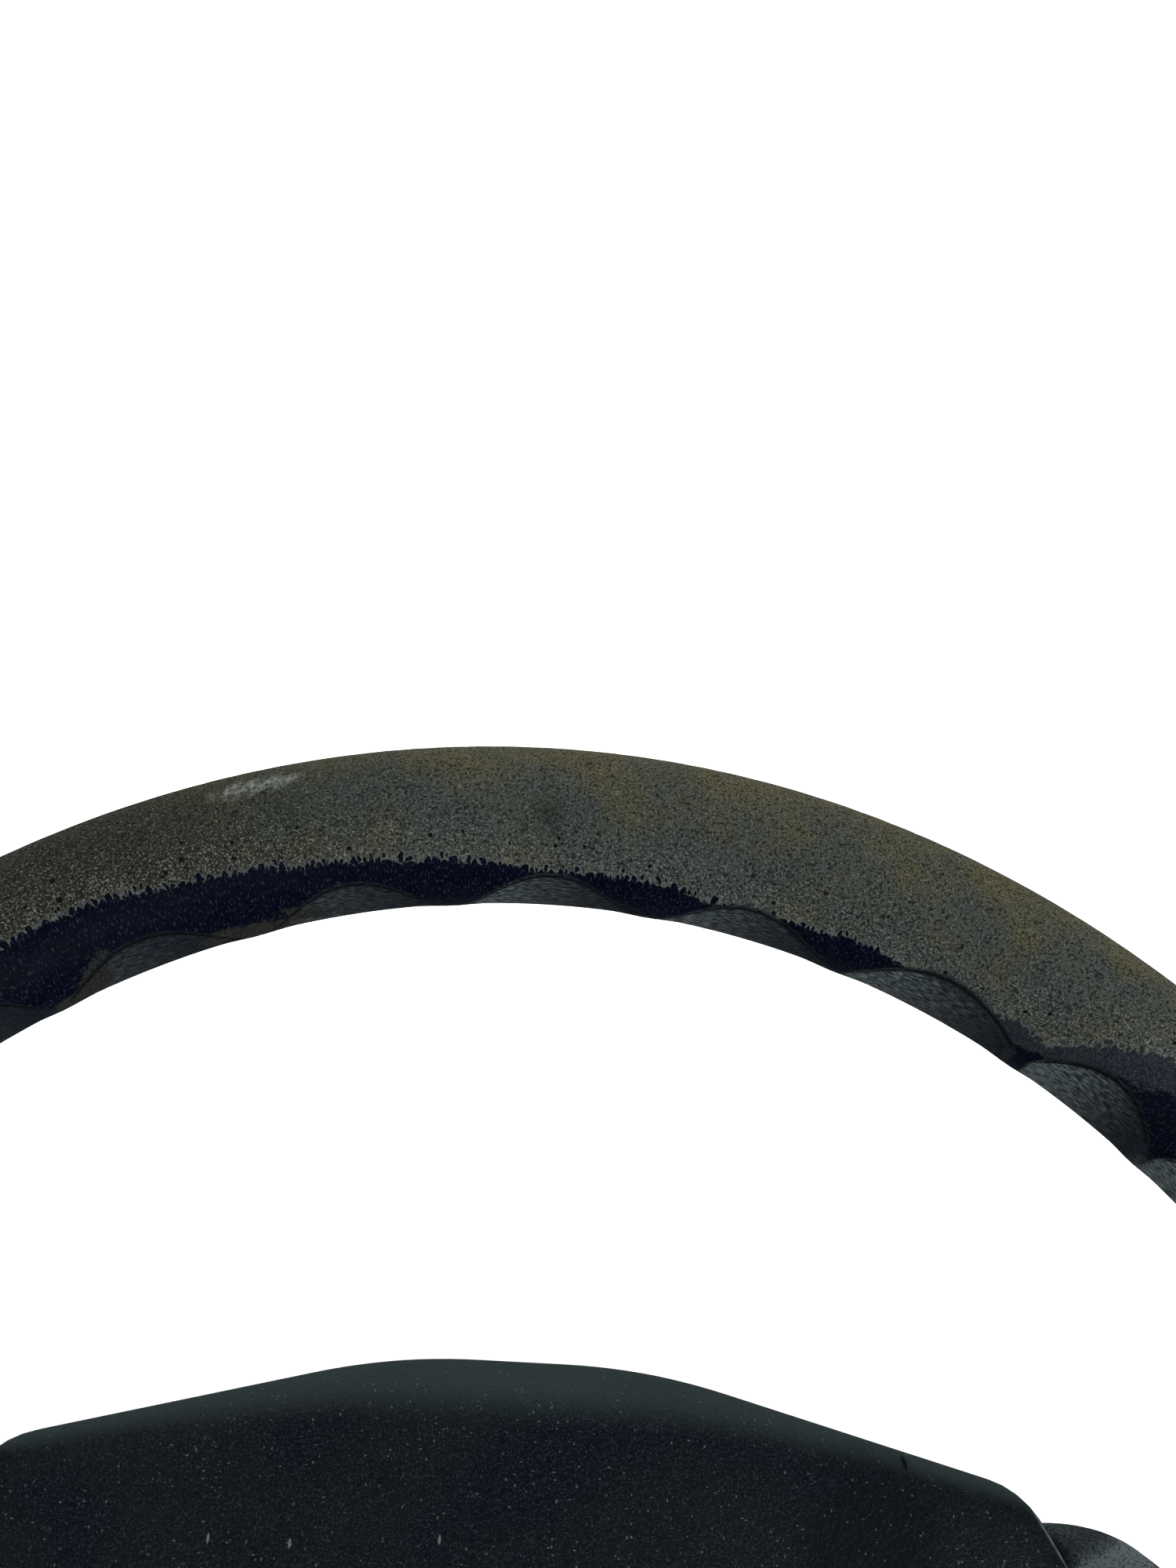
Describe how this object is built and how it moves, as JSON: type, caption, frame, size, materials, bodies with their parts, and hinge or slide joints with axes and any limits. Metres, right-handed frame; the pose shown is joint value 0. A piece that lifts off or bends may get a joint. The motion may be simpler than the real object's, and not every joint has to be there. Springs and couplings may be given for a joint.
{
  "type": "steering wheel",
  "caption": "Round finger-grip rim with a dished hub, joined by spokes, and a padded cover that presses in as the horn push.",
  "frame": {"origin": "on the column axis, in the plane of the rear shroud's edge, which the wheel rests on", "axes": "+Z along the column axis towards the driver, +Y towards twelve o'clock, +X to the driver's right"},
  "size_m": [0.3798, 0.38, 0.081],
  "materials": {
    "grip_foam": "matte foam where the skin has worn off, dark grained skin elsewhere",
    "pad_vinyl": "satin grained vinyl",
    "black_plastic": "fine spark texture",
    "nylon": "satin",
    "black_steel": "black dip paint",
    "zinc_steel": "zinc plated",
    "spring_steel": "bright wire",
    "brass": "satin"
  },
  "bodies": {
    "wheel": {"rim_moulding": "grip_foam", "rim_core_rod": "black_steel", "spoke_bar_upper_right": "black_steel", "spoke_bar_upper_left": "black_steel", "spoke_bar_lower_right": "black_steel", "spoke_bar_lower_left": "black_steel", "hub_plate": "black_steel", "hub_boss": "zinc_steel", "hub_washer": "zinc_steel", "hub_nut": "zinc_steel", "shroud_screw_1": "zinc_steel", "shroud_screw_2": "zinc_steel", "shroud_screw_3": "zinc_steel", "shroud_screw_4": "zinc_steel", "cancel_cam_carrier": "nylon", "pad_bush_1": "nylon", "pad_bush_2": "nylon", "pad_bush_3": "nylon", "pad_bush_4": "nylon", "contact_insulator_1": "nylon", "contact_insulator_2": "nylon", "horn_slip_ring": "brass", "fixed_contact_1": "brass", "fixed_contact_2": "brass", "horn_terminal": "brass", "pad_spring_1": "spring_steel", "pad_spring_2": "spring_steel", "pad_spring_3": "spring_steel", "pad_spring_4": "spring_steel", "rear_shroud": "black_plastic"},
    "horn_pad": {"pad_cover": "pad_vinyl", "pad_backing_plate": "black_steel", "horn_contact_plate": "zinc_steel", "pad_shoulder_screw_1": "zinc_steel", "pad_shoulder_screw_2": "zinc_steel", "pad_shoulder_screw_3": "zinc_steel", "pad_shoulder_screw_4": "zinc_steel", "moving_contact_1": "brass", "moving_contact_2": "brass"}
  },
  "joints": [
    {"name": "horn_press", "type": "slide", "parent": "wheel", "child": "horn_pad", "axis": [0, 0, -1], "range_m": [0, 0.0025], "stiffness_N_per_m": 8000, "springref_m": -0.0015, "deforming": ["pad_spring_1", "pad_spring_2", "pad_spring_3", "pad_spring_4"]}
  ]
}
